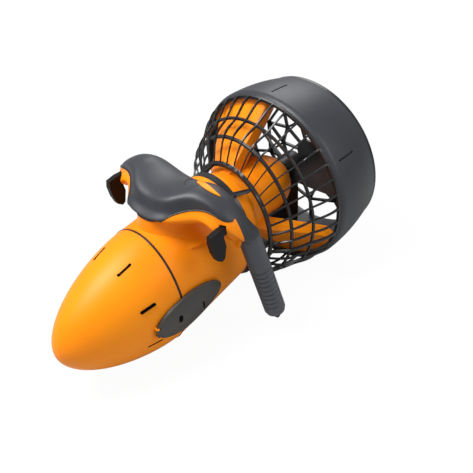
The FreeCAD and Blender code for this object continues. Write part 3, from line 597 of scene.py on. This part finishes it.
# Station and radius of each corner of a vane's flat end
vane_outline = (
    (0.080, 0.0525),
    (0.100, 0.069),
    (0.157, 0.116),
    (0.183, 0.140),
    (0.1845, 0.1495),
    (0.1905, 0.1468),
    (0.2025, 0.1460),
    (0.2025, 0.128),
    (0.179, 0.105),
    (0.126, 0.056),
    (0.108, 0.040),
)
for k, vane_from in enumerate((90, -90)):
    a = math.radians(vane_from)
    bpy.ops.object.select_all(action="DESELECT")
    bpy.ops.mesh.primitive_circle_add(vertices=len(vane_outline), radius=0.01, fill_type="NGON")
    vane = bpy.context.object
    vane.name = "vane_%d" % k
    for corner, (y, radius) in zip(vane.data.vertices, vane_outline):
        corner.co = (radius * math.cos(a), y, axis_height + radius * math.sin(a))
    bpy.ops.object.mode_set(mode="EDIT")
    bpy.ops.mesh.select_all(action="SELECT")
    bpy.ops.mesh.spin(
        steps=vane_steps,
        angle=math.radians(vane_turn),
        center=(0, 0, axis_height),
        axis=(0, 1, 0),
    )
    bpy.ops.mesh.select_all(action="SELECT")
    bpy.ops.mesh.remove_doubles(threshold=0.00001)
    bpy.ops.mesh.normals_make_consistent(inside=False)
    bpy.ops.object.mode_set(mode="OBJECT")
    rounding = vane.modifiers.new("rounding", "BEVEL")
    rounding.width = vane_rounding
    rounding.segments = 3
    rounding.limit_method = "ANGLE"
    rounding.angle_limit = math.radians(40)
    bpy.ops.object.modifier_apply(modifier=rounding.name)
    bpy.ops.object.shade_smooth_by_angle(angle=math.radians(35))
    vane.data.materials.append(orange)
    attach(vane, "hull")
    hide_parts("stator_vanes")

# Front guard
# Black moulded cage of arched ribs and three hoops, held by spokes on a hub band behind the
# hull and by a ring in the duct's lip. It is the solid's own cage with its hoops drawn in.
cage_black = plastic(
    "cage_plastic",
    colour=(0.013, 0.013, 0.014),
    deep=(0.009, 0.009, 0.010),
    rough=0.34,
    grain=1100.0,
    relief=0.12,
    scuff=0.04,
    scuff_colour=(0.2, 0.2, 0.21),
)
hub_face = 0.0402
hub_end = 0.0525
hub_margin = 1.03
spoke_end = 0.0575
first_hoop_inside = 0.1155
least_reach = 0.05
stout_rib = math.radians(-18)
stout_rib_half = 0.0015
stout_rib_growth = 1.3
# Station of each hoop in the solid, then how far aft and down it sits, and its width and height
cage_rings = (
    (0.056, 0.029, -0.030, 0.722, 0.875),
    (0.085, 0.0216, -0.017, 0.823, 0.944),
    (0.116, 0.0237, -0.0115, 0.865, 0.938),
    (0.1765, 0.0, 0.0, 1.0, 1.0),
)
cage = node_copy("cage", "front_guard")
hub_front = [v.co for v in cage.data.vertices if v.co.y < hub_face]
hub_top = max(p.z for p in hub_front)
hub_foot = min(p.z for p in hub_front)
hub_side = max(p.x for p in hub_front)
hub_middle = (hub_top + hub_foot) / 2


def hub_share(x, z):
    """How far out a point lies as a share of the hub's outline."""
    return math.hypot(x / hub_side, (z - hub_middle) / (hub_top - hub_middle))


def ring_slope(i, column):
    """Slope of a column of the hoops' places at one hoop."""
    before = cage_rings[max(i - 1, 0)]
    after = cage_rings[min(i + 1, len(cage_rings) - 1)]
    return (after[column] - before[column]) / (after[0] - before[0])


def ring_shift(place):
    """Where a point of the cage moves when its hoops settle towards the hull's line."""
    y = min(max(place.y, cage_rings[0][0]), cage_rings[-1][0])
    i = max(k for k in range(len(cage_rings) - 1) if cage_rings[k][0] <= y)
    here = cage_rings[i]
    ahead = cage_rings[i + 1]
    gap = ahead[0] - here[0]
    t = (y - here[0]) / gap
    settled = []
    for column in range(1, 5):
        value = here[column] * (1 + 2 * t) * (1 - t) ** 2 + ahead[column] * t * t * (3 - 2 * t)
        leave = ring_slope(i, column) * t * (1 - t) ** 2
        arrive = ring_slope(i + 1, column) * t * t * (1 - t)
        settled.append(value + gap * (leave - arrive))
    aft, down, width, height = settled
    z = axis_height + (place.z - axis_height) * height + down
    return Vector((place.x * width, place.y + aft, z)) - place


for vertex in cage.data.vertices:
    p = vertex.co.copy()
    out = math.hypot(p.x, p.z - axis_height)
    angle = math.atan2(p.z - axis_height, p.x)
    aside = (angle - stout_rib) * out
    on_hub = hub_share(p.x, p.z)
    if p.y < hub_end and on_hub < hub_margin:
        continue
    if abs(aside) < stout_rib_half:
        p += Vector((-math.sin(angle), 0, math.cos(angle))) * aside * stout_rib_growth
    if p.y < spoke_end and out < first_hoop_inside:
        reach = first_hoop_inside / out
        end = Vector((p.x * reach, p.y, axis_height + (p.z - axis_height) * reach))
        share = (on_hub - 1) / max(hub_share(end.x, end.z) - 1, least_reach)
        vertex.co = p + ring_shift(end) * min(max(share, 0.0), 1.0)
    elif p.y < cage_rings[-1][0]:
        vertex.co = p + ring_shift(p)
cage.data.materials.clear()
cage.data.materials.append(cage_black)
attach(cage, "hull")
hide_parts("front_guard")

# Duct and rear guard
# Charcoal duct, moulded with a grained skin and six short slots round its barrel, with a black
# strip on each slot's floor that paints the shade in it. Six steel screws hold the black web's rim
# to its rear edge.
dress(cage_black, "rear_guard")
dress(charcoal, "duct")
dress(steel, "rim_screws")
duct_slot_count = 6
duct_slot_radius = 0.1544
duct_slot_front = Vector((0, 0.198, 0))
duct_slot_back = Vector((0, 0.237, 0))
duct_slot_width = 0.0029
# Black strips on the slot floors paint the shade inside the slots
for k in range(duct_slot_count):
    a = math.radians(90 + 360 / duct_slot_count * k)
    outwards = Vector((math.cos(a), 0, math.sin(a)))
    centre = Vector((0, 0, axis_height)) + outwards * duct_slot_radius
    ends = (centre + duct_slot_front, centre + duct_slot_back)
    slot_strip("duct_slot_floor_%d" % k, *ends, outwards, duct_slot_width, black, "hull")

# Propeller
# Three black blades, moulded in one piece with their hub, which a rounded nut holds on the
# steel shaft.
dress(black, "propeller", "prop_nut")
dress(steel, "prop_shaft")

# Drive line inside
# Painted motor can, its aluminium clamp ring, the gearbox ring and the steel bearings, all
# sealed in the tail.
motor_paint = plastic(
    "motor_steel",
    colour=(0.09, 0.095, 0.1),
    deep=(0.07, 0.074, 0.08),
    rough=0.45,
    grain=600.0,
    relief=0.1,
)
aluminium = plastic(
    "aluminium",
    colour=(0.62, 0.63, 0.65),
    deep=(0.55, 0.56, 0.58),
    rough=0.35,
    grain=500.0,
    relief=0.06,
    scuff=0.05,
    scuff_colour=(0.8, 0.8, 0.8),
    metallic=1.0,
)
dress(motor_paint, "motor")
dress(aluminium, "motor_mount", "gearbox")
dress(steel, "shaft_bearings")

# Battery and board inside
# Black moulded tray and bulkhead, the wrapped battery block that lies in the tray and the
# green control board.
battery_wrap = plastic(
    "battery_case",
    colour=(0.02, 0.024, 0.034),
    deep=(0.014, 0.017, 0.024),
    rough=0.4,
    grain=700.0,
    relief=0.1,
)
board_green = plastic(
    "board",
    colour=(0.006, 0.07, 0.026),
    deep=(0.004, 0.05, 0.018),
    rough=0.3,
    grain=800.0,
    relief=0.08,
)
dress(black, "bulkhead", "battery_tray")
dress(battery_wrap, "battery_pack")
dress(board_green, "control_board")
